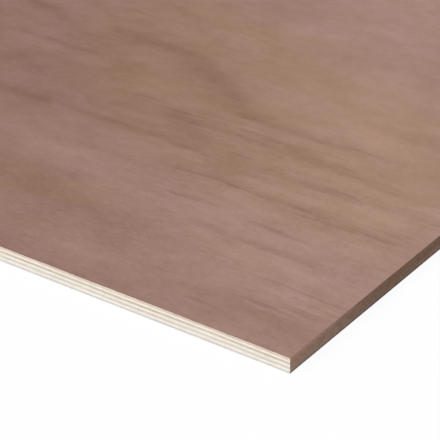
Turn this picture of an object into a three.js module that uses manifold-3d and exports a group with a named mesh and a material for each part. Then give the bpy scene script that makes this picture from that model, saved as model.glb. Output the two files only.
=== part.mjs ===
// A full stock sheet of seven-ply plywood with brown hardwood face and back veneers.
// It lies flat with its face up. Millimetres, +Z up. The origin is the middle of the underside,
// and the long edges, the way the face grain runs, lie along X.
import * as THREE from "three";
import { mergeVertices } from "three/addons/utils/BufferGeometryUtils.js";
import Module from "manifold-3d";

// ---- Driving dimensions ----
const SHEET_LENGTH = 2440;
const SHEET_WIDTH = 1220;
const SHEET_THICKNESS = 18;

// The five inner plies keep the thickness they were peeled at.
// The face and back veneers share what is left, because the sanding of the sheet takes off a little.
const INNER_PLY_THICKNESS = 2.625;
const INNER_PLIES = 5;
const OUTER_VENEER_THICKNESS = (SHEET_THICKNESS - INNER_PLIES * INNER_PLY_THICKNESS) / 2;

// The sanding also rounds every arris of the face and the back by a little.
const ARRIS_RADIUS = 0.5;
const ARRIS_FACETS = 4;

// A slicing block reaches this far past the sheet on every side.
const SLICE_OVERHANG = 20;

// ---- Woods ----
const hardwoodVeneer = { color: 0xa08273, roughness: 0.62, metalness: 0 };
const longGrainPly = { color: 0xd8cbb8, roughness: 0.78, metalness: 0 };
const crossGrainPly = { color: 0xefe4d3, roughness: 0.82, metalness: 0 };

// ---- Layup, from the back up to the face; each ply's grain crosses the grain of its neighbours ----
const LAYUP = [
  { name: "back_veneer", wood: hardwoodVeneer, thickness: OUTER_VENEER_THICKNESS },
  { name: "lower_crossband", wood: crossGrainPly, thickness: INNER_PLY_THICKNESS },
  { name: "lower_long_ply", wood: longGrainPly, thickness: INNER_PLY_THICKNESS },
  { name: "centre_crossband", wood: crossGrainPly, thickness: INNER_PLY_THICKNESS },
  { name: "upper_long_ply", wood: longGrainPly, thickness: INNER_PLY_THICKNESS },
  { name: "upper_crossband", wood: crossGrainPly, thickness: INNER_PLY_THICKNESS },
  { name: "face_veneer", wood: hardwoodVeneer, thickness: OUTER_VENEER_THICKNESS },
];

const wasm = await Module();
wasm.setup();

// A closed three.js geometry as a solid that can be cut.
function toSolid(geometry) {
  const bare = geometry.clone();
  bare.deleteAttribute("normal");
  bare.deleteAttribute("uv");
  const merged = mergeVertices(bare);
  return new wasm.Manifold(
    new wasm.Mesh({
      numProp: 3,
      vertProperties: merged.attributes.position.array,
      triVerts: new Uint32Array(merged.index.array),
    }),
  );
}

// A cut solid back as a three.js geometry with flat-shaded faces.
function toGeometry(solid) {
  const mesh = solid.getMesh();
  const indexed = new THREE.BufferGeometry();
  indexed.setAttribute("position", new THREE.BufferAttribute(mesh.vertProperties, mesh.numProp));
  indexed.setIndex(new THREE.BufferAttribute(mesh.triVerts, 1));
  const geometry = indexed.toNonIndexed();
  geometry.computeVertexNormals();
  return geometry;
}

// The whole sheet, trimmed to size and sanded: a rectangle extruded through the thickness,
// with the arrises of both faces rounded and the four upright corners left as the saw cut them.
function trimmedSheet() {
  const halfLength = SHEET_LENGTH / 2;
  const halfWidth = SHEET_WIDTH / 2;
  const outline = new THREE.Shape();
  outline.moveTo(-halfLength, -halfWidth);
  outline.lineTo(halfLength, -halfWidth);
  outline.lineTo(halfLength, halfWidth);
  outline.lineTo(-halfLength, halfWidth);
  outline.closePath();
  const sheet = new THREE.ExtrudeGeometry(outline, {
    depth: SHEET_THICKNESS - 2 * ARRIS_RADIUS,
    bevelEnabled: true,
    bevelThickness: ARRIS_RADIUS,
    bevelSize: ARRIS_RADIUS,
    bevelOffset: -ARRIS_RADIUS,
    bevelSegments: ARRIS_FACETS,
  });
  sheet.translate(0, 0, ARRIS_RADIUS);
  return toSolid(sheet);
}

// The slice of the sheet between two glue lines.
function plySlice(sheet, bottom, top) {
  const block = new THREE.BoxGeometry(
    SHEET_LENGTH + 2 * SLICE_OVERHANG,
    SHEET_WIDTH + 2 * SLICE_OVERHANG,
    top - bottom,
  );
  block.translate(0, 0, (bottom + top) / 2);
  return toGeometry(sheet.intersect(toSolid(block)));
}

// ---- Assembly: every ply is its own piece of wood, and lies glued face to face on the one below ----
const plywoodSheet = new THREE.Group();
plywoodSheet.name = "plywood_sheet";
const sheet = trimmedSheet();
let glueLine = 0;
for (const { name, wood, thickness } of LAYUP) {
  const ply = new THREE.Mesh(
    plySlice(sheet, glueLine, glueLine + thickness),
    new THREE.MeshStandardMaterial(wood),
  );
  ply.name = name;
  plywoodSheet.add(ply);
  glueLine += thickness;
}

export default plywoodSheet;
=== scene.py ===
import math

import bpy
from mathutils import Matrix, Vector


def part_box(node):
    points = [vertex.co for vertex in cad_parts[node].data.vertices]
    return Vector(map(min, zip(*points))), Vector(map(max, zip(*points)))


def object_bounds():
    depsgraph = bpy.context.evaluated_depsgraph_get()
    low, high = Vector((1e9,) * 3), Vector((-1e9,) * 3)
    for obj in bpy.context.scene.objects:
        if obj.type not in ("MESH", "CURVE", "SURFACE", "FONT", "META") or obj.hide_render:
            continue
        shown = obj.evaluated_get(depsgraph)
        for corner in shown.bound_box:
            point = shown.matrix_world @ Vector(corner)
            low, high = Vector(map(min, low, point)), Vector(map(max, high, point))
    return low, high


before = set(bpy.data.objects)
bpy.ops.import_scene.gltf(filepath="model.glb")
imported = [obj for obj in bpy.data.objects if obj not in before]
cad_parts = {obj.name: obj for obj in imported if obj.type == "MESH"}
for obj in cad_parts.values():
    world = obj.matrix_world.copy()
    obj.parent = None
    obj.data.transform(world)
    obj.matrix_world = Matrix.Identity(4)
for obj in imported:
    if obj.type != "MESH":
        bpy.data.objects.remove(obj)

CAD_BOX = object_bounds()
MM = 0.001

# ---------------------------------------------------------------------------------------------
# The sheet, as the frame gives it
# ---------------------------------------------------------------------------------------------
LOW, HIGH = CAD_BOX
HALF_LENGTH = (HIGH.x - LOW.x) / 2
HALF_WIDTH = (HIGH.y - LOW.y) / 2
NEAR_CORNER = Vector((HIGH.x, LOW.y, HIGH.z))

# ---------------------------------------------------------------------------------------------
# Woods and finishes, as linear colours
# ---------------------------------------------------------------------------------------------
HARDWOOD_DEEP = (0.240, 0.131, 0.093, 1.0)
HARDWOOD_PALE = (0.420, 0.266, 0.201, 1.0)
HARDWOOD_PORE = (0.125, 0.062, 0.043, 1.0)
TAN_TINT = (0.993, 1.0, 0.912, 1.0)
MAUVE_TINT = (1.012, 0.996, 1.130, 1.0)
SEALER_DEEP = (0.162, 0.087, 0.047, 1.0)
SEALER_PALE = (0.360, 0.216, 0.158, 1.0)
SEALER_RED = (0.200, 0.098, 0.046, 1.0)
FOOT_DARKENING = (0.105, 0.086, 0.068, 1.0)
FLOOR_DUST = (0.330, 0.290, 0.250, 1.0)
GLUE_BROWN = (0.300, 0.190, 0.110, 1.0)
# The deep and the pale tone of each ply's sawn long edge, from the face down
SAWN_EDGES = {
    "face_veneer": ((0.475, 0.385, 0.312, 1.0), (0.750, 0.650, 0.560, 1.0)),
    "upper_crossband": ((0.670, 0.590, 0.485, 1.0), (0.850, 0.776, 0.697, 1.0)),
    "upper_long_ply": ((0.440, 0.375, 0.300, 1.0), (0.610, 0.540, 0.455, 1.0)),
    "centre_crossband": ((0.660, 0.603, 0.530, 1.0), (0.840, 0.790, 0.728, 1.0)),
    "lower_long_ply": ((0.500, 0.450, 0.385, 1.0), (0.670, 0.620, 0.560, 1.0)),
    "lower_crossband": ((0.660, 0.612, 0.550, 1.0), (0.830, 0.790, 0.735, 1.0)),
    "back_veneer": ((0.465, 0.438, 0.400, 1.0), (0.680, 0.655, 0.615, 1.0)),
}


# ---------------------------------------------------------------------------------------------
# Small helpers for building node trees
# ---------------------------------------------------------------------------------------------
class Tree:
    """A node tree, with one short method for each kind of node that the woods are made of."""

    def __init__(self, nodes_and_links):
        self.nodes = nodes_and_links.nodes
        self.links = nodes_and_links.links

    def add(self, kind, inputs=None, **settings):
        node = self.nodes.new(kind)
        for name, value in settings.items():
            setattr(node, name, value)
        for name, value in (inputs or {}).items():
            self.feed(node.inputs[name], value)
        return node

    def feed(self, socket, value):
        """Links the socket to another node's output, or sets it to a plain value."""
        if isinstance(value, bpy.types.NodeSocket):
            self.links.new(value, socket)
        else:
            socket.default_value = value

    def math(self, what, *values, clamp=False):
        node = self.add("ShaderNodeMath", dict(enumerate(values)), operation=what, use_clamp=clamp)
        return node.outputs[0]

    def total(self, start, *parts):
        """start, plus each (value, weight) pair's product."""
        for value, weight in parts:
            start = self.math("MULTIPLY_ADD", value, weight, start)
        return start

    def vector(self, what, first, second):
        node = self.add("ShaderNodeVectorMath", {0: first, 1: second}, operation=what)
        return node.outputs[0]

    def apart(self, place):
        return self.add("ShaderNodeSeparateXYZ", {0: place}).outputs

    def together(self, x=0.0, y=0.0, z=0.0):
        return self.add("ShaderNodeCombineXYZ", {"X": x, "Y": y, "Z": z}).outputs[0]

    def remap(self, value, between, levels=(0.0, 1.0), how="SMOOTHSTEP"):
        """Runs from the first level to the second while the value passes between the two bounds."""
        sockets = {"Value": value, "From Min": between[0], "From Max": between[1],
                   "To Min": levels[0], "To Max": levels[1]}
        return self.add("ShaderNodeMapRange", sockets, interpolation_type=how).outputs[0]

    def blend(self, share, first, second):
        """The first value where the share is zero, and the second where it is one."""
        return self.remap(share, (0.0, 1.0), (first, second), "LINEAR")

    def noise(self, place, detail=2.0, roughness=0.5):
        """Noise around zero, with features about one unit wide."""
        sockets = {"Vector": place, "Scale": 1.0, "Detail": detail, "Roughness": roughness}
        level = self.add("ShaderNodeTexNoise", sockets, noise_dimensions="3D").outputs["Fac"]
        return self.math("SUBTRACT", level, 0.5)

    def pattern(self, place, along, across, detail=2.0, roughness=0.5):
        """Noise around zero, with so many features in a unit along the place's X, and across it."""
        return self.noise(self.vector("MULTIPLY", place, (along, across, 1.0)), detail, roughness)

    def mix(self, share, first, second, how="MIX"):
        node = self.add("ShaderNodeMix", data_type="RGBA", blend_type=how, clamp_factor=True)
        inputs = [socket for socket in node.inputs if socket.enabled]
        for socket, value in zip(inputs, (share, first, second)):
            self.feed(socket, value)
        return next(socket for socket in node.outputs if socket.enabled)

    def group(self, made, inputs):
        node = self.add("ShaderNodeGroup", node_tree=made)
        for name, value in inputs.items():
            self.feed(node.inputs[name], value)
        return node.outputs


def new_group(name, inputs, outputs):
    """An empty node group with named sockets, as (group, its Tree, what comes in, what goes out)."""
    made = bpy.data.node_groups.new(name, "ShaderNodeTree")
    for label, (kind, start) in inputs.items():
        socket = made.interface.new_socket(label, in_out="INPUT", socket_type=kind)
        socket.default_value = start
    for label, kind in outputs.items():
        made.interface.new_socket(label, in_out="OUTPUT", socket_type=kind)
    tree = Tree(made)
    came_in = tree.add("NodeGroupInput")
    goes_out = tree.add("NodeGroupOutput")
    return made, tree, came_in.outputs, goes_out.inputs


# ---------------------------------------------------------------------------------------------
# Grain streaks, which all woods draw on, and the hardwood's pores, figure and marks
# ---------------------------------------------------------------------------------------------
VECTOR, NUMBER, COLOUR = "NodeSocketVector", "NodeSocketFloat", "NodeSocketColor"
ORIGIN = (0.0, 0.0, 0.0)
PORE_LENGTH = 8 * MM
PORE_SPACING = 1 * MM
# The sideways wander of the hardwood's grain, in metres, and the extra sway of its soft clouds
GRAIN_WANDER = 80 * MM
CLOUD_SWAY = 60 * MM
# How strongly each part of the hardwood's figure shows in its tone
STRIPE_STRENGTH = 0.36
BAND_STRENGTH = 0.20
CLOUD_STRENGTH = 0.62
MOTTLE_STRENGTH = 0.50
FIBRE_STRENGTH = 0.28
DASH_TONE = -0.34


def make_grain_streaks():
    """Lines of darker and paler wood, drawn out along X of the place that comes in."""
    made, tree, given, out = new_group(
        "grain_streaks",
        {"Place": (VECTOR, ORIGIN), "Streak length": (NUMBER, 300 * MM),
         "Streak width": (NUMBER, 3 * MM), "Fineness": (NUMBER, 2.0)},
        {"Tone": NUMBER})
    apart = tree.apart(given["Place"])
    drawn_out = tree.together(tree.math("DIVIDE", apart["X"], given["Streak length"]),
                              tree.math("DIVIDE", apart["Y"], given["Streak width"]), apart["Z"])
    tree.feed(out["Tone"], tree.noise(drawn_out, given["Fineness"]))
    return made


GRAIN_STREAKS = make_grain_streaks()


def grain_streaks(tree, place, length, width, fineness=2.0):
    """The tone of streaks of one length and width, in millimetres, that lie along X of the place."""
    return tree.group(GRAIN_STREAKS, {"Place": place, "Streak length": length * MM,
                                      "Streak width": width * MM, "Fineness": fineness})["Tone"]


def make_open_pores():
    """Short dark dashes of open pores that lie along X of the place that comes in."""
    made, tree, given, out = new_group(
        "open_pores",
        {"Place": (VECTOR, ORIGIN), "Pore length": (NUMBER, PORE_LENGTH),
         "Pore spacing": (NUMBER, PORE_SPACING)},
        {"Mask": NUMBER})
    apart = tree.apart(given["Place"])
    drawn_out = tree.together(tree.math("DIVIDE", apart["X"], given["Pore length"]),
                              tree.math("DIVIDE", apart["Y"], given["Pore spacing"]))
    cells = tree.add("ShaderNodeTexVoronoi", {"Vector": drawn_out, "Scale": 1.0, "Randomness": 1.0},
                     voronoi_dimensions="2D", feature="F1")
    dashes = tree.remap(cells.outputs["Distance"], (0.06, 0.24), (1.0, 0.0))
    crowding = tree.remap(tree.pattern(drawn_out, 0.35, 0.22), (-0.10, 0.16))
    tree.feed(out["Mask"], tree.math("MULTIPLY", dashes, crowding))
    return made


OPEN_PORES = make_open_pores()


def make_hardwood_figure():
    """A peeled hardwood veneer: tone around zero, its broad bands apart, hue, hairlines and pores."""
    made, tree, given, out = new_group(
        "hardwood_figure",
        {"Place": (VECTOR, ORIGIN), "Wander": (NUMBER, GRAIN_WANDER), "Streaky": (NUMBER, 0.5),
         "Dark lines": (NUMBER, 1.0)},
        {"Tone": NUMBER, "Broad bands": NUMBER, "Hue": NUMBER, "Hairlines": NUMBER, "Pores": NUMBER})
    place = given["Place"]
    slow = tree.pattern(place, 1.1, 2.6, detail=1.0)
    straight = tree.vector("ADD", place, tree.together(y=tree.math("MULTIPLY", slow, given["Wander"])))

    hairs = grain_streaks(tree, straight, 60, 4.2, fineness=3.0)
    stripes = grain_streaks(tree, straight, 160, 12, fineness=3.0)
    clusters = tree.remap(grain_streaks(tree, straight, 280, 50), (-0.06, 0.16), (0.15, 0.90))
    dashes = grain_streaks(tree, straight, 100, 11, fineness=1.0)
    dashes = tree.remap(dashes, (-0.10, -0.26), (0.0, DASH_TONE))
    dashes = tree.math("MULTIPLY", tree.math("MULTIPLY", dashes, clusters), given["Dark lines"])
    lines = tree.total(tree.math("MULTIPLY", hairs, clusters), (stripes, STRIPE_STRENGTH))
    lines = tree.math("ADD", lines, dashes)

    swirl = tree.math("MULTIPLY", tree.pattern(place, 12.0, 18.0), CLOUD_SWAY)
    flow = tree.vector("ADD", straight, tree.together(y=swirl))
    clouds = tree.pattern(flow, 13.0, 24.0, detail=4.0, roughness=0.6)
    mottle = tree.pattern(place, 46.0, 62.0, detail=4.0, roughness=0.75)
    bands = grain_streaks(tree, straight, 800, 34)
    fibres = grain_streaks(tree, straight, 40, 1.1)
    tone = tree.total(tree.math("MULTIPLY", lines, given["Streaky"]), (bands, BAND_STRENGTH),
                      (clouds, CLOUD_STRENGTH), (mottle, MOTTLE_STRENGTH), (fibres, FIBRE_STRENGTH))
    hue = tree.pattern(place, 9.0, 16.0, detail=4.0, roughness=0.6)

    tree.feed(out["Tone"], tone)
    tree.feed(out["Broad bands"], tree.pattern(straight, 1.3, 6.5, detail=3.0))
    tree.feed(out["Hue"], tree.total(hue, (clouds, 0.8), (mottle, 0.4)))
    tree.feed(out["Hairlines"], hairs)
    tree.feed(out["Pores"], tree.group(OPEN_PORES, {"Place": straight})["Mask"])
    return made


HARDWOOD_FIGURE = make_hardwood_figure()


def make_figure_mark():
    """Adds one soft lens-shaped mark to a tone. It is long along the grain and feathered at its ends."""
    made, tree, given, out = new_group(
        "figure_mark",
        {"Tone": (NUMBER, 0.0), "Along": (NUMBER, 0.0), "Across": (NUMBER, 0.0),
         "Middle along": (NUMBER, 0.0), "Middle across": (NUMBER, 0.0),
         "Half length": (NUMBER, 100 * MM), "Half width": (NUMBER, 6 * MM), "Lean": (NUMBER, 0.0),
         "Change": (NUMBER, 0.1)},
        {"Tone": NUMBER})
    aside = tree.math("SUBTRACT", given["Along"], given["Middle along"])
    level = tree.math("SUBTRACT", given["Across"], given["Middle across"])
    level = tree.math("SUBTRACT", level, tree.math("MULTIPLY", aside, given["Lean"]))
    along = tree.math("DIVIDE", aside, given["Half length"])
    across = tree.math("DIVIDE", level, given["Half width"])
    spread = tree.math("MULTIPLY_ADD", along, along, tree.math("MULTIPLY", across, across))
    mask = tree.math("EXPONENT", tree.math("MULTIPLY", spread, -1.0))
    tree.feed(out["Tone"], tree.math("MULTIPLY_ADD", mask, given["Change"], given["Tone"]))
    return made


FIGURE_MARK = make_figure_mark()


# ---------------------------------------------------------------------------------------------
# Sawn long edges
# ---------------------------------------------------------------------------------------------
# The saw's scratches: how far apart they are on a long edge and on an end, and how they lean and
# change on their way up
EDGE_SAW_SPACING = 1.6 * MM
END_SAW_SPACING = 3.5 * MM
SAW_LEAN = 0.25
SAW_CHANGES_UPWARDS = 60.0
# Pressed veneers vary in thickness, so the glue lines sway, in noise of this seed and pitch
PRESSED_SWAY = 1.7 * MM
PRESSED_SEED = (43.5, -4.1, 35.5)
PRESSED_PITCH = (8.0, 8.0, 40.0)
# How much the long plies are thinned from below by the press, as the sawn edges show it
THINNED = {"upper_long_ply": 0.30 * MM, "lower_long_ply": 0.26 * MM}
# The reach of a glue line to either side, its waver, and the line where one wood meets the next
GLUE_REACH = (0.03 * MM, 0.14 * MM)
GLUE_WAVER = 0.06 * MM
WOODS_MEET = (-0.05 * MM, 0.05 * MM)
GLUE_STRENGTH = 0.50
SCORED_STRENGTH = 0.18
# A height that no part of the sheet comes near, and how closely two plies meet at one height
OUT_OF_REACH = 1.0
SAME_HEIGHT = 0.1 * MM


def make_saw_marks():
    """Fine upright scratches that the saw leaves along an edge, as a height around zero."""
    made, tree, given, out = new_group(
        "saw_marks",
        {"Along": (NUMBER, 0.0), "Up": (NUMBER, 0.0), "Spacing": (NUMBER, 2 * MM)},
        {"Height": NUMBER})
    lean = tree.math("MULTIPLY_ADD", given["Up"], SAW_LEAN, given["Along"])
    place = tree.together(tree.math("DIVIDE", lean, given["Spacing"]),
                          tree.math("MULTIPLY", given["Up"], SAW_CHANGES_UPWARDS))
    tree.feed(out["Height"], tree.noise(place, detail=3.0, roughness=0.6))
    return made


SAW_MARKS = make_saw_marks()


def saw_marks_along(tree, place):
    """The height of the saw's scratches on a long edge."""
    apart = tree.apart(place)
    return tree.group(SAW_MARKS, {"Along": apart["X"], "Up": apart["Z"],
                                  "Spacing": EDGE_SAW_SPACING})["Height"]


def make_pressed_level():
    """The height on an edge, swayed a little along the sheet as the pressed veneers sway."""
    made, tree, given, out = new_group(
        "pressed_level", {"Place": (VECTOR, ORIGIN), "Sway": (NUMBER, 2 * MM)}, {"Level": NUMBER})
    height = tree.apart(given["Place"])["Z"]
    pitched = tree.vector("MULTIPLY", given["Place"], PRESSED_PITCH)
    sway = tree.noise(tree.vector("ADD", pitched, PRESSED_SEED), detail=1.0)
    tree.feed(out["Level"], tree.math("MULTIPLY_ADD", sway, given["Sway"], height))
    return made


PRESSED_LEVEL = make_pressed_level()


def make_glue_lines():
    """The thin brown lines where a ply is glued to its neighbours, and how far each neighbour shows."""
    made, tree, given, out = new_group(
        "glue_lines",
        {"Level": (NUMBER, 0.0), "Bottom": (NUMBER, 0.0), "Top": (NUMBER, 1.0), "Waver": (NUMBER, 0.0)},
        {"Mask": NUMBER, "Below": NUMBER, "Above": NUMBER})
    from_bottom = tree.math("SUBTRACT", given["Level"], given["Bottom"])
    from_top = tree.math("SUBTRACT", given["Level"], given["Top"])
    nearest = tree.math("MINIMUM", tree.math("ABSOLUTE", from_bottom), tree.math("ABSOLUTE", from_top))
    nearest = tree.total(nearest, (given["Waver"], GLUE_WAVER))
    tree.feed(out["Mask"], tree.remap(nearest, GLUE_REACH, (1.0, 0.0)))
    tree.feed(out["Below"], tree.remap(from_bottom, WOODS_MEET, (1.0, 0.0), "LINEAR"))
    tree.feed(out["Above"], tree.remap(from_top, WOODS_MEET, (0.0, 1.0), "LINEAR"))
    return made


GLUE_LINES = make_glue_lines()


def glue_levels(ply):
    """The heights of a ply's two glue lines. One that the sheet's outer face lacks is out of reach."""
    low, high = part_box(ply)
    bottom, top = LOW.z - OUT_OF_REACH, HIGH.z + OUT_OF_REACH
    if low.z > LOW.z:
        bottom = low.z + THINNED.get(ply, 0.0)
    if high.z < HIGH.z:
        above = [other for other in THINNED
                 if math.isclose(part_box(other)[0].z, high.z, abs_tol=SAME_HEIGHT)]
        top = high.z + sum(THINNED[other] for other in above)
    return bottom, top


def sawn_wood(tree, place, ply, tone, saw):
    """The wood of a ply's long edge. Where a glue line sways into the ply, its neighbour shows."""
    bottom, top = glue_levels(ply)
    level = tree.group(PRESSED_LEVEL, {"Place": place, "Sway": PRESSED_SWAY})["Level"]
    glue = tree.group(GLUE_LINES, {"Level": level, "Bottom": bottom, "Top": top, "Waver": saw})
    wood = tree.mix(tone, *SAWN_EDGES[ply])
    order = list(SAWN_EDGES)
    here = order.index(ply)
    for side, neighbours in (("Above", order[:here][-1:]), ("Below", order[here + 1:][:1])):
        for neighbour in neighbours:
            wood = tree.mix(glue[side], wood, tree.mix(tone, *SAWN_EDGES[neighbour]))
    glued = tree.math("MULTIPLY", glue["Mask"], GLUE_STRENGTH)
    scored = tree.remap(saw, (0.0, 0.35), (0.0, SCORED_STRENGTH))
    return tree.mix(tree.math("MAXIMUM", glued, scored), wood, GLUE_BROWN)


# ---------------------------------------------------------------------------------------------
# Sealed ends
# ---------------------------------------------------------------------------------------------
# Stretches of an end, from its front corner, in which the sealer turns from rubbed and pale to dark. The
# change from pale to dark is painted shade, and the rubbed band holds a painted highlight.
PAINTED_SHADE_STRETCH = (0.0, 180 * MM)
ARRIS_AND_FOOT_STRETCH = (0.0, 200 * MM)
RUBBED_AND_PAINTED_LIGHT_STRETCH = (40 * MM, 220 * MM)
RIM_STRETCH = (100 * MM, 200 * MM)
# How strongly each part of the sealer shows in its tone
RUN_STRENGTH = 0.35
BRUSH_STRENGTH = 0.34
END_SAW_STRENGTH = 0.60
BLOTCH_STRENGTH = 1.05
NICK_TONE = -0.55
# The tone at the front corner and at the far end of the stretch of painted shade, and the painted light
# that brightens the foot
SEALER_AND_PAINTED_SHADE_TONES = (0.88, 0.21)
FOOT_PAINTED_LIGHT_HEIGHTS = (3 * MM, 11 * MM)
FOOT_PAINTED_LIGHT = 0.20
# Depths under the face: where the sealer starts, where its arris ends, how deep and how pale it is
# rubbed, near the corner and far from it, with a painted highlight by the corner and painted shade
# farther along, and how deep and strong its reddish rim is
SEALER_STARTS = (-0.15 * MM, 0.65 * MM)
ARRIS_DEPTH = 0.5 * MM
RUBBED_AND_PAINTED_LIGHT_DEPTHS = (5.0 * MM, 2.6 * MM)
RUBBED_AND_PAINTED_LIGHT_TONES = (0.30, -0.12)
RIM_DEPTH = 4.5 * MM
RIM_STRENGTH = 0.55
# Floor dust, and a darker band along the foot: their heights, and how much there is, near and far
FOOT_DARKENING_HEIGHTS = (0.6 * MM, 3.6 * MM)
FOOT_DARKENING_SHARES = (0.60, 0.95)
DUST_HEIGHTS = (1.5 * MM, 9.5 * MM)
DUST_SHARES = (0.34, 0.10)


def make_sealed_end():
    """Brown sealer brushed over an end: its colour, which holds painted shade and light, its cover, and
    its height over the saw marks.
    """
    made, tree, given, out = new_group(
        "sealed_end",
        {"Along": (NUMBER, 0.0), "Up": (NUMBER, 0.0), "Ply tone": (NUMBER, 0.0)},
        {"Colour": COLOUR, "Cover": NUMBER, "Height": NUMBER})
    up = given["Up"]
    place = tree.together(given["Along"], up)
    run = tree.pattern(place, 7.0, 60.0, detail=3.0, roughness=0.6)
    brush = tree.pattern(place, 30.0, 800.0, detail=4.0, roughness=0.6)
    blotches = tree.pattern(place, 105.0, 150.0, detail=3.0, roughness=0.65)
    specks = tree.pattern(place, 520.0, 260.0, detail=3.0, roughness=0.6)
    nicks = tree.remap(specks, (0.02, 0.24), (0.0, NICK_TONE))
    marks = tree.group(SAW_MARKS, {"Along": given["Along"], "Up": up,
                                   "Spacing": END_SAW_SPACING})["Height"]
    from_corner = tree.math("ADD", given["Along"], HALF_WIDTH)
    below_the_face = tree.total(tree.math("SUBTRACT", HIGH.z, up), (run, 1.6 * MM), (marks, 0.8 * MM))

    # Painted shade: the end is painted pale by the front corner and dark away from it.
    tone = tree.math("ADD", tree.remap(from_corner, PAINTED_SHADE_STRETCH, SEALER_AND_PAINTED_SHADE_TONES), given["Ply tone"])
    # Painted light: the end is painted paler towards its foot.
    tone = tree.math("ADD", tone, tree.remap(up, FOOT_PAINTED_LIGHT_HEIGHTS, (FOOT_PAINTED_LIGHT, 0.0)))
    # A painted highlight under the top arris by the corner, and painted shade under it farther along,
    # with the sealer rubbed there.
    rubbed_and_painted_light_depth = tree.remap(from_corner, ARRIS_AND_FOOT_STRETCH, RUBBED_AND_PAINTED_LIGHT_DEPTHS)
    rubbed_and_painted_light_tone = tree.remap(from_corner, RUBBED_AND_PAINTED_LIGHT_STRETCH, RUBBED_AND_PAINTED_LIGHT_TONES)
    rubbed_and_painted_light = tree.remap(below_the_face, (ARRIS_DEPTH, rubbed_and_painted_light_depth), (rubbed_and_painted_light_tone, 0.0))
    tone = tree.total(tree.math("ADD", tone, rubbed_and_painted_light), (run, RUN_STRENGTH), (brush, BRUSH_STRENGTH),
                      (marks, END_SAW_STRENGTH), (blotches, BLOTCH_STRENGTH))
    tone = tree.math("MAXIMUM", tree.math("ADD", tone, nicks), 0.0)

    rim = tree.remap(below_the_face, (ARRIS_DEPTH, RIM_DEPTH), (RIM_STRENGTH, 0.0))
    rim = tree.math("MULTIPLY", rim, tree.remap(from_corner, RIM_STRETCH))
    sealer = tree.mix(rim, tree.mix(tone, SEALER_DEEP, SEALER_PALE), SEALER_RED)
    # Floor dust along the foot, and the end made darker towards its foot.
    for foot_colour, heights, shares, sway in ((FLOOR_DUST, DUST_HEIGHTS, DUST_SHARES, 3.0 * MM),
                                        (FOOT_DARKENING, FOOT_DARKENING_HEIGHTS, FOOT_DARKENING_SHARES, 1.5 * MM)):
        most = tree.remap(from_corner, ARRIS_AND_FOOT_STRETCH, shares)
        sealer = tree.mix(tree.remap(tree.total(up, (run, sway)), heights, (most, 0.0)), sealer, foot_colour)

    tree.feed(out["Colour"], sealer)
    tree.feed(out["Cover"], tree.remap(below_the_face, SEALER_STARTS))
    tree.feed(out["Height"], tree.total(0.0, (marks, 0.6), (brush, 0.4)))
    return made


SEALED_END = make_sealed_end()


# ---------------------------------------------------------------------------------------------
# What all plies share
# ---------------------------------------------------------------------------------------------
# How deep inside the sheet a side gives way to the flat faces
SIDE_DEPTHS = (0.20 * MM, 0.40 * MM)
SAWN_ROUGHER = 0.15
SEALED_SMOOTHER = 0.14
RELIEF_DEPTH = 0.15 * MM
RELIEF_STRENGTH = 0.3
WOOD_SHINE = 0.08


def make_sides_of_the_sheet():
    """Masks for the sawn long edges and for the ends, from the place alone."""
    made, tree, given, out = new_group(
        "sides_of_the_sheet",
        {"Place": (VECTOR, ORIGIN), "Half length": (NUMBER, 1.0), "Half width": (NUMBER, 0.5)},
        {"Long edge": NUMBER, "End": NUMBER})
    apart = tree.apart(given["Place"])
    for axis, half, side in (("X", "Half length", "End"), ("Y", "Half width", "Long edge")):
        inside = tree.math("SUBTRACT", given[half], tree.math("ABSOLUTE", apart[axis]))
        tree.feed(out[side], tree.remap(inside, SIDE_DEPTHS, (1.0, 0.0), "LINEAR"))
    return made


SIDES = make_sides_of_the_sheet()


def start_material(name):
    """A new node material, as (material, its Tree, its Principled shader, the object coordinates)."""
    material = bpy.data.materials.new(name)
    material.use_nodes = True
    material.node_tree.nodes.clear()
    tree = Tree(material.node_tree)
    shader = tree.add("ShaderNodeBsdfPrincipled")
    surface = tree.add("ShaderNodeOutputMaterial")
    tree.links.new(shader.outputs[0], surface.inputs[0])
    place = tree.add("ShaderNodeTexCoord").outputs["Object"]
    return material, tree, shader, place


def finish_the_sides(tree, shader, place, flat, sawn, saw, ply_tone, roughness, height):
    """Feeds the shader: the flat faces' wood, the sawn wood of the long edges and the sealed ends."""
    apart = tree.apart(place)
    side = tree.group(SIDES, {"Place": place, "Half length": HALF_LENGTH, "Half width": HALF_WIDTH})
    end = tree.group(SEALED_END, {"Along": apart["Y"], "Up": apart["Z"], "Ply tone": ply_tone})
    sealed = tree.math("MULTIPLY", side["End"], end["Cover"])
    colour = tree.mix(sealed, tree.mix(side["Long edge"], flat, sawn), end["Colour"])
    tree.feed(shader.inputs["Base Color"], colour)
    rough = tree.math("MULTIPLY_ADD", side["Long edge"], SAWN_ROUGHER, roughness)
    tree.feed(shader.inputs["Roughness"], tree.math("MULTIPLY_ADD", sealed, -SEALED_SMOOTHER, rough))
    relief = tree.total(tree.math("MULTIPLY", saw, side["Long edge"]), (end["Height"], side["End"]))
    relief = tree.add("ShaderNodeBump", {"Height": tree.math("ADD", relief, height),
                                         "Strength": RELIEF_STRENGTH, "Distance": RELIEF_DEPTH})
    tree.feed(shader.inputs["Normal"], relief.outputs[0])
    shader.inputs["Specular IOR Level"].default_value = WOOD_SHINE
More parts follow.
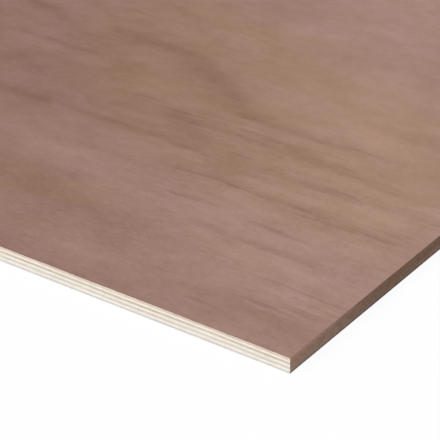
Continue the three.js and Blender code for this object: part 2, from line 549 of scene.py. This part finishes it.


# ---------------------------------------------------------------------------------------------
# Hardwood veneer
# ---------------------------------------------------------------------------------------------
# Soft patches in the face's figure by the near corner, and painted shade along its front arris, in
# millimetres from that corner:
# (along the sheet, across it, half length, half width, lean, change of tone)
FACE_PATCHES = (
    (-640, 380, 260, 110, -0.10, -0.20),
    (-380, 115, 150, 42, -0.15, -0.18),
    (-100, 45, 120, 30, 0.00, -0.22),
    (-10, 35, 60, 40, 0.00, -0.16),
    (-240, 165, 120, 42, 0.00, 0.09),
    (-375, 25, 60, 25, 0.00, -0.12),
    (-140, 262, 60, 16, 0.00, 0.08),
    (-225, 590, 120, 55, 0.00, -0.12),
    (-235, 535, 120, 45, 0.00, -0.05),
    (-515, 462, 95, 48, -0.10, -0.10),
    (-425, 138, 75, 40, 0.00, -0.08),
    (-650, 440, 60, 45, 0.00, 0.12),
    (-545, 268, 60, 35, 0.00, -0.12),
    (-668, 466, 45, 10, -0.25, -0.24),
    (-490, 467, 70, 12, 0.00, -0.18),
    (-385, 428, 70, 19, -0.40, -0.24),
    (-335, 400, 30, 20, -0.30, -0.12),
    (-222, 377, 115, 9, -0.02, -0.14),
    (-187, 335, 85, 11, -0.10, -0.12),
    (-355, 320, 38, 20, -0.30, -0.26),
    (-430, 284, 165, 7, 0.04, -0.16),
    (-136, 291, 85, 7, 0.00, -0.10),
    (-165, 242, 130, 10, -0.05, -0.14),
    (-245, 246, 60, 11, -0.05, -0.08),
    (-125, 152, 105, 8, -0.03, -0.14),
    (-105, 20, 50, 9, 0.00, -0.10),
    (-518, 546, 38, 14, -0.30, -0.16),
    (-292, 530, 38, 32, -0.50, -0.12),
    (-108, 440, 36, 18, 0.00, -0.16),
    (-222, 535, 42, 27, -0.30, 0.20),
    (-315, 409, 30, 16, 0.00, 0.14),
    (-160, 420, 44, 20, 0.00, 0.20),
    (-610, 382, 52, 24, 0.00, 0.18),
    (-436, 388, 34, 16, -0.20, 0.14),
    (-66, 272, 38, 12, 0.00, 0.18),
    (-440, 206, 80, 30, -0.15, 0.09),
    (-93, 134, 85, 9, 0.00, 0.14),
    (-300, 44, 75, 14, 0.05, 0.12),
    # The last three are painted shade along the front arris: darker in the first two and lighter in the
    # third.
    (-300, 2, 95, 18, 0.00, -0.15),
    (-165, 4, 75, 12, 0.00, -0.11),
    (-38, 12, 32, 8, 0.00, 0.09),
)
# Fine lines in the same part, dark ones and then pale ones:
# (along the sheet, across it, half length, change of tone)
FACE_LINES = (
    (-307, 373, 22, -0.33),
    (-213, 376, 32, -0.09),
    (-155, 384, 38, -0.17),
    (-248, 345, 32, -0.20),
    (-176, 342, 30, -0.20),
    (-150, 332, 46, -0.18),
    (-75, 325, 30, -0.19),
    (-395, 283, 42, -0.08),
    (-314, 280, 26, -0.30),
    (-188, 291, 46, -0.04),
    (-128, 292, 20, -0.18),
    (-225, 238, 32, -0.40),
    (-290, 235, 32, -0.30),
    (-155, 241, 50, -0.22),
    (-145, 231, 42, -0.24),
    (-65, 237, 30, -0.32),
    (-33, 252, 18, -0.18),
    (-268, 192, 22, -0.30),
    (-143, 188, 36, -0.32),
    (-205, 158, 24, -0.08),
    (-125, 153, 60, -0.16),
    (-98, 102, 28, -0.10),
    (-40, 103, 42, -0.15),
    (-92, 64, 42, -0.18),
    (-45, 54, 34, -0.06),
    (-130, 33, 28, -0.17),
    (-612, 401, 38, -0.20),
    (-548, 403, 22, -0.13),
    (-430, 349, 16, -0.16),
    (-394, 343, 24, -0.11),
    (-419, 317, 13, -0.12),
    (-338, 405, 12, -0.16),
    (-268, 333, 14, -0.16),
    (-285, 312, 12, -0.12),
    (-325, 303, 16, -0.13),
    (-270, 301, 18, -0.12),
    (-392, 298, 14, -0.12),
    (-443, 437, 12, -0.14),
    (-290, 354, 14, 0.16),
    (-180, 361, 28, 0.14),
    (-175, 350, 22, 0.12),
    (-320, 269, 10, 0.14),
    (-300, 262, 14, 0.18),
    (-215, 262, 22, 0.10),
    (-200, 220, 14, 0.08),
    (-118, 228, 12, 0.16),
    (-85, 223, 22, 0.14),
    (-205, 147, 18, 0.18),
    (-150, 146, 18, 0.10),
    (-105, 146, 26, 0.12),
    (-50, 97, 26, 0.14),
    (-60, 80, 26, 0.10),
)
LINE_HALF_WIDTH = 4.3
# Where fine dark lines crowd in that part, and where it is warmer and browner:
# (along the sheet, across it, half length, half width, lean)
STREAKY_AREAS = ((-190, 275, 270, 130, -0.05), (-55, 80, 62, 36, 0.00))
WARM_AREAS = ((-300, 397, 322, 182, -0.32), (-405, 137, 90, 36, 0.00))
# How far from the near corner the marked part passes into the rest, and its fine grain dies away
MARKED_REACH = (850 * MM, 1350 * MM)
FINE_GRAIN_REACH = (300 * MM, 600 * MM)
FINE_GRAIN_STRENGTH = 0.38
BROAD_BANDS_BY_THE_CORNER = 0.15
BROAD_BANDS_ELSEWHERE = 1.3
# How far the outlines of the areas and of the marks are swayed across the grain
AREA_SWAY = 150 * MM
MARK_SWAY = 16 * MM
# How the tone drifts from the far left end to the near right one: (share of the length, tone)
FACE_DRIFT = ((0.0, 0.52), (0.28, 0.60), (0.55, 0.48), (0.76, 0.36), (0.86, 0.52), (0.95, 0.78))
BACK_DRIFT = ((0.0, 0.45), (0.20, 0.60), (0.45, 0.52), (0.62, 0.66), (0.82, 0.48), (1.0, 0.56))
# How far that drift sways along the sheet, and how far it leans that way by the back edge, in a
# lean that starts this far from the front edge
DRIFT_SWAY = 350 * MM
DRIFT_LEAN = 450 * MM
LEAN_STARTS = 330 * MM
FACE_SEED = (3.1, 7.7, 0.0)
BACK_SEED = (-4.3, 2.9, 0.0)
PORE_STRENGTH = 0.40
VENEER_ROUGHNESS = (0.60, 0.70)
VENEER_TONE_UNDER_SEALER = -0.04
# The last millimetres of a veneer before the saw cut are a little darker
EDGE_DARKER_STRIP = (0.0, 4 * MM)
EDGE_DARKER_TONE = -0.18
# Its sawn edge: the tone, and the depths under its outer face in which it frays
VENEER_EDGE_TONE = 0.45
FRAYED_DEPTHS = (-0.06 * MM, 0.26 * MM)


def slow_drift(tree, place, stops):
    """The tone's slow change from one end of the sheet to the other."""
    apart = tree.apart(place)
    along = tree.total(apart["X"], (tree.pattern(place, 0.8, 3.0), DRIFT_SWAY))
    lean = tree.remap(apart["Y"], (LOW.y + LEAN_STARTS, HIGH.y), (0.0, DRIFT_LEAN), "LINEAR")
    along = tree.math("ADD", along, lean)
    drift = tree.add("ShaderNodeValToRGB", {0: tree.remap(along, (LOW.x, HIGH.x), how="LINEAR")})
    ramp = drift.color_ramp
    ramp.interpolation = "EASE"
    while len(ramp.elements) < len(stops):
        ramp.elements.new(0.5)
    for stop, (position, level) in zip(ramp.elements, stops):
        stop.position = position
        stop.color = (level, level, level, 1.0)
    return drift.outputs["Color"]


def add_mark(tree, tone, x, y, along, across, half_length, half_width, lean, change):
    """The tone with one mark added, whose place and size are in millimetres from the near corner."""
    return tree.group(FIGURE_MARK, {
        "Tone": tone, "Along": x, "Across": y, "Middle along": NEAR_CORNER.x + along * MM,
        "Middle across": NEAR_CORNER.y + across * MM, "Half length": half_length * MM,
        "Half width": half_width * MM, "Lean": lean, "Change": change})["Tone"]


def figure_amounts(tree, seeded):
    """How streaky and how mauve a veneer is, and how much of its bands and dark lines shows."""
    return {"streaky": tree.remap(tree.pattern(seeded, 1.7, 5.0), (-0.12, 0.12), (0.25, 1.0)),
            "mauve": tree.remap(tree.pattern(seeded, 1.3, 3.4), (-0.09, 0.09), (0.2, 0.8)),
            "broad bands": BROAD_BANDS_ELSEWHERE, "dark lines": 1.0, "fine grain": 0.0}


def amounts_by_the_corner(tree, place, elsewhere):
    """The face's amounts, which by the near corner come from the streaky and the warm areas.

    The figure's own dark lines give way there to the listed ones, and a fine grain is added.
    """
    apart = tree.apart(place)
    away = tree.vector("SUBTRACT", place, tuple(NEAR_CORNER))
    distance = tree.add("ShaderNodeVectorMath", {0: away}, operation="LENGTH").outputs["Value"]
    far = tree.remap(distance, MARKED_REACH)
    wave = tree.pattern(place, 7.0, 9.0, detail=3.0)
    swayed = tree.math("MULTIPLY_ADD", wave, AREA_SWAY, apart["Y"])

    def inside(areas):
        masks = [add_mark(tree, 0.0, apart["X"], swayed, *area, 1.0) for area in areas]
        return tree.math("MAXIMUM", *masks)

    streaky = tree.remap(inside(STREAKY_AREAS), (0.20, 0.80), (0.25, 1.05))
    mauve = tree.remap(inside(WARM_AREAS), (0.25, 0.60), (0.8, 0.2))
    grain_here = tree.remap(distance, FINE_GRAIN_REACH, (FINE_GRAIN_STRENGTH, 0.0))
    return {"streaky": tree.blend(far, streaky, elsewhere["streaky"]),
            "mauve": tree.blend(far, mauve, elsewhere["mauve"]),
            "broad bands": tree.blend(far, BROAD_BANDS_BY_THE_CORNER, elsewhere["broad bands"]),
            "dark lines": far,
            "fine grain": tree.math("MULTIPLY", tree.pattern(place, 130.0, 230.0), grain_here)}


def marks_by_the_corner(tree, place, patched):
    """Two changes of tone: what comes in with the face's patches added, and its fine lines alone."""
    apart = tree.apart(place)
    bend = tree.pattern(place, 5.0, 26.0, detail=3.0, roughness=0.6)
    bent = tree.math("MULTIPLY_ADD", bend, MARK_SWAY, apart["Y"])
    for patch in FACE_PATCHES:
        patched = add_mark(tree, patched, apart["X"], bent, *patch)
    lined = 0.0
    for along, across, half_length, change in FACE_LINES:
        lined = add_mark(tree, lined, apart["X"], bent, along, across, half_length,
                         LINE_HALF_WIDTH, 0.0, change)
    return patched, lined


def veneer_edge(tree, place, ply, saw, outer_height, colour):
    """A veneer's sawn edge, frayed where the saw cut meets the veneer's outer face."""
    apart = tree.apart(place)
    on_edge = tree.together(apart["X"], apart["Z"])
    fibres = grain_streaks(tree, on_edge, 70, 0.9)
    chips = grain_streaks(tree, on_edge, 12, 2.2, fineness=3.0)
    tone = tree.total(VENEER_EDGE_TONE, (fibres, 1.0), (chips, 0.9))
    depth = tree.math("ABSOLUTE", tree.math("SUBTRACT", apart["Z"], outer_height))
    frayed = tree.total(depth, (fibres, 0.6 * MM), (chips, 0.8 * MM))
    return tree.mix(tree.remap(frayed, FRAYED_DEPTHS), colour, sawn_wood(tree, place, ply, tone, saw))


def hardwood_veneer(ply, seed, drift_stops, outer_height, marked):
    """The brown veneer of the face, whose figure is marked by the near corner, or of the back."""
    material, tree, shader, place = start_material(ply + "_wood")
    seeded = tree.vector("ADD", place, seed)
    amounts = figure_amounts(tree, seeded)
    patched, lined = 0.0, 0.0
    if marked:
        amounts = amounts_by_the_corner(tree, place, amounts)
        patched, lined = marks_by_the_corner(tree, place, amounts["fine grain"])
    figure = tree.group(HARDWOOD_FIGURE, {"Place": seeded, "Streaky": amounts["streaky"],
                                          "Dark lines": amounts["dark lines"]})
    tone = tree.math("ADD", figure["Tone"], slow_drift(tree, place, drift_stops))
    tone = tree.math("MULTIPLY_ADD", figure["Broad bands"], amounts["broad bands"], tone)
    from_edge = tree.math("SUBTRACT", HALF_WIDTH, tree.math("ABSOLUTE", tree.apart(place)["Y"]))
    # The veneer is darker in its last millimetres before the long edges.
    edge_darker = tree.remap(from_edge, EDGE_DARKER_STRIP, (EDGE_DARKER_TONE, 0.0))
    tone = tree.math("ADD", tone, tree.math("ADD", patched, edge_darker))
    fibrous = tree.remap(figure["Hairlines"], (-0.12, 0.12), (1.6, 0.4), "LINEAR")
    tone = tree.math("MULTIPLY_ADD", lined, fibrous, tone, clamp=True)

    colour = tree.mix(tone, HARDWOOD_DEEP, HARDWOOD_PALE)
    tint = tree.mix(tree.total(amounts["mauve"], (figure["Hue"], 1.0)), TAN_TINT, MAUVE_TINT)
    colour = tree.mix(1.0, colour, tint, "MULTIPLY")
    colour = tree.mix(tree.math("MULTIPLY", figure["Pores"], PORE_STRENGTH), colour, HARDWOOD_PORE)
    saw = saw_marks_along(tree, place)
    sawn = veneer_edge(tree, place, ply, saw, outer_height, colour)
    roughness = tree.remap(figure["Hairlines"], (-0.2, 0.2), VENEER_ROUGHNESS, "LINEAR")
    height = tree.total(0.0, (figure["Hairlines"], 0.5), (figure["Pores"], -0.8))
    finish_the_sides(tree, shader, place, flat=colour, sawn=sawn, saw=saw,
                     ply_tone=VENEER_TONE_UNDER_SEALER, roughness=roughness, height=height)
    return material


# ---------------------------------------------------------------------------------------------
# Inner plies
# ---------------------------------------------------------------------------------------------
INNER_PLIES = [ply for ply in SAWN_EDGES if not ply.endswith("veneer")]
INNER_EDGE_TONE = 0.5
BARE_ROUGHNESS = 0.65
# The ends of long fibres take the sealer darker, and the flanks of crossed ones take it paler
LONG_TONE_UNDER_SEALER = -0.05
CROSSED_TONE_UNDER_SEALER = 0.03


def inner_ply(ply, crossed, seed):
    """A pale ply. Its long edges show end grain if its fibres cross the sheet, and else long fibres."""
    material, tree, shader, place = start_material(ply + "_wood")
    apart = tree.apart(tree.vector("ADD", place, (seed, 0.0, seed)))
    on_edge = tree.together(apart["X"], apart["Z"])
    if crossed:
        fibre_ends = grain_streaks(tree, on_edge, 1.3, 1.3, fineness=3.0)
        smears = grain_streaks(tree, on_edge, 4.0, 0.5)
        fibres = tree.total(0.0, (fibre_ends, 0.9), (smears, 0.4))
        tone_under_sealer = CROSSED_TONE_UNDER_SEALER
    else:
        coarse = grain_streaks(tree, on_edge, 90, 1.1)
        fine = grain_streaks(tree, on_edge, 28, 0.22, fineness=3.0)
        fibres = tree.total(0.0, (coarse, 0.8), (fine, 1.1))
        tone_under_sealer = LONG_TONE_UNDER_SEALER
    flecks = grain_streaks(tree, on_edge, 8, 2.6, fineness=3.0)
    areas = grain_streaks(tree, on_edge, 70, 30)
    tone = tree.total(INNER_EDGE_TONE, (fibres, 1.0), (flecks, 1.4), (areas, 0.8))
    saw = saw_marks_along(tree, place)
    sawn = sawn_wood(tree, place, ply, tone, saw)
    finish_the_sides(tree, shader, place, flat=sawn, sawn=sawn, saw=saw,
                     ply_tone=tone_under_sealer, roughness=BARE_ROUGHNESS, height=0.0)
    return material


def dress_the_plies():
    """Makes the seven woods, and gives each ply its own."""
    woods = {"face_veneer": hardwood_veneer("face_veneer", FACE_SEED, FACE_DRIFT, HIGH.z, marked=True),
             "back_veneer": hardwood_veneer("back_veneer", BACK_SEED, BACK_DRIFT, LOW.z, marked=False)}
    for seed, ply in enumerate(INNER_PLIES, start=1):
        woods[ply] = inner_ply(ply, "crossband" in ply, float(seed))
    for ply, wood in woods.items():
        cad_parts[ply].material_slots[0].material = wood


# ---------------------------------------------------------------------------------------------
# Floor and light
# ---------------------------------------------------------------------------------------------
WHITE = (1.0, 1.0, 1.0, 1.0)
FLOOR_DROP = 0.3 * MM
FLOOR_HALF = 60.0
FLOOR_WHITE = (0.90, 0.90, 0.90, 1.0)
FLOOR_GLOW = 0.94
STUDIO_STRENGTH = 0.50
LAMP_STRENGTH = 2.3
LAMP_SPREAD = math.radians(40)
LAMP_COMES_FROM = Vector((-0.35, -0.75, 0.72))


def seen_directly(tree):
    """One where the eye, or a reflection in gloss or glass, sees the stage, and the light path itself."""
    path = tree.add("ShaderNodeLightPath").outputs
    seen = tree.math("ADD", path["Is Camera Ray"], path["Is Glossy Ray"])
    return tree.math("ADD", seen, path["Is Transmission Ray"], clamp=True), path


def lay_floor():
    """A matt white floor with the object's shadow. It is clear from below, and close under the sheet."""
    bpy.ops.object.select_all(action="DESELECT")
    bpy.ops.mesh.primitive_plane_add(size=2 * FLOOR_HALF, location=(0.0, 0.0, -FLOOR_DROP))
    floor = bpy.context.object
    floor.name = "floor"
    material = bpy.data.materials.new("white_floor")
    material.use_nodes = True
    material.node_tree.nodes.clear()
    tree = Tree(material.node_tree)
    seen, path = seen_directly(tree)
    matt = tree.add("ShaderNodeBsdfDiffuse", {"Color": FLOOR_WHITE})
    glow = tree.add("ShaderNodeEmission", {"Color": WHITE, "Strength": 1.0})
    shown = tree.add("ShaderNodeMixShader", {0: tree.math("MULTIPLY", seen, FLOOR_GLOW),
                                             1: matt.outputs[0], 2: glow.outputs[0]})
    from_below = tree.add("ShaderNodeNewGeometry").outputs["Backfacing"]
    close = tree.math("LESS_THAN", path["Ray Length"], 2 * FLOOR_DROP)
    nothing = tree.add("ShaderNodeBsdfTransparent")
    shown = tree.add("ShaderNodeMixShader", {0: tree.math("MAXIMUM", from_below, close),
                                             1: shown.outputs[0], 2: nothing.outputs[0]})
    surface = tree.add("ShaderNodeOutputMaterial")
    tree.links.new(shown.outputs[0], surface.inputs[0])
    floor.data.materials.append(material)


def light_the_studio():
    """Plain white light from all round, and one broad soft lamp from the front left."""
    world = bpy.data.worlds.new("studio")
    bpy.context.scene.world = world
    world.use_nodes = True
    world.node_tree.nodes.clear()
    tree = Tree(world.node_tree)
    seen, _ = seen_directly(tree)
    soft = tree.add("ShaderNodeBackground", {"Color": WHITE, "Strength": STUDIO_STRENGTH})
    white = tree.add("ShaderNodeBackground", {"Color": WHITE, "Strength": 1.0})
    shown = tree.add("ShaderNodeMixShader", {0: seen, 1: soft.outputs[0], 2: white.outputs[0]})
    tree.links.new(shown.outputs[0], tree.add("ShaderNodeOutputWorld").inputs[0])

    lamp = bpy.data.lights.new("key_lamp", "SUN")
    lamp.energy = LAMP_STRENGTH
    lamp.angle = LAMP_SPREAD
    key = bpy.data.objects.new("key_lamp", lamp)
    bpy.context.scene.collection.objects.link(key)
    key.rotation_mode = "QUATERNION"
    key.rotation_quaternion = LAMP_COMES_FROM.to_track_quat("Z", "Y")


# ---------------------------------------------------------------------------------------------
# Camera
# ---------------------------------------------------------------------------------------------
PICTURE_SIDE = 440
SENSOR_WIDTH = 36.0
FOCAL_PIXELS = 2600.0
VIEW_AZIMUTH, VIEW_ELEVATION = math.radians(35.07), math.radians(30.86)
# The pixel that shows the near corner, and the corner's depth along the view, in metres
CORNER_PIXEL = (289.91, 357.99)
CORNER_DEPTH = 2.504
NEAREST, FARTHEST = 0.05, 200.0


def set_up_camera():
    """A camera at the view's angles, placed so that the near corner falls on its pixel."""
    camera_data = bpy.data.cameras.new("camera")
    camera_data.sensor_width = SENSOR_WIDTH
    camera_data.lens = FOCAL_PIXELS / PICTURE_SIDE * SENSOR_WIDTH
    camera_data.clip_start, camera_data.clip_end = NEAREST, FARTHEST
    camera = bpy.data.objects.new("camera", camera_data)
    bpy.context.scene.collection.objects.link(camera)
    bpy.context.scene.camera = camera
    back = Vector((math.sin(VIEW_AZIMUTH) * math.cos(VIEW_ELEVATION),
                   -math.cos(VIEW_AZIMUTH) * math.cos(VIEW_ELEVATION),
                   math.sin(VIEW_ELEVATION)))
    right = Vector((math.cos(VIEW_AZIMUTH), math.sin(VIEW_AZIMUTH), 0.0))
    up = back.cross(right)
    middle = (PICTURE_SIDE - 1) / 2
    aside = (CORNER_PIXEL[0] - middle) / FOCAL_PIXELS * CORNER_DEPTH
    below = (CORNER_PIXEL[1] - middle) / FOCAL_PIXELS * CORNER_DEPTH
    spot = NEAR_CORNER + back * CORNER_DEPTH - right * aside + up * below
    turn = Matrix((right, up, back)).transposed().to_4x4()
    camera.matrix_world = Matrix.Translation(spot) @ turn


dress_the_plies()
lay_floor()
light_the_studio()
set_up_camera()
bpy.context.scene.view_settings.view_transform = "Standard"
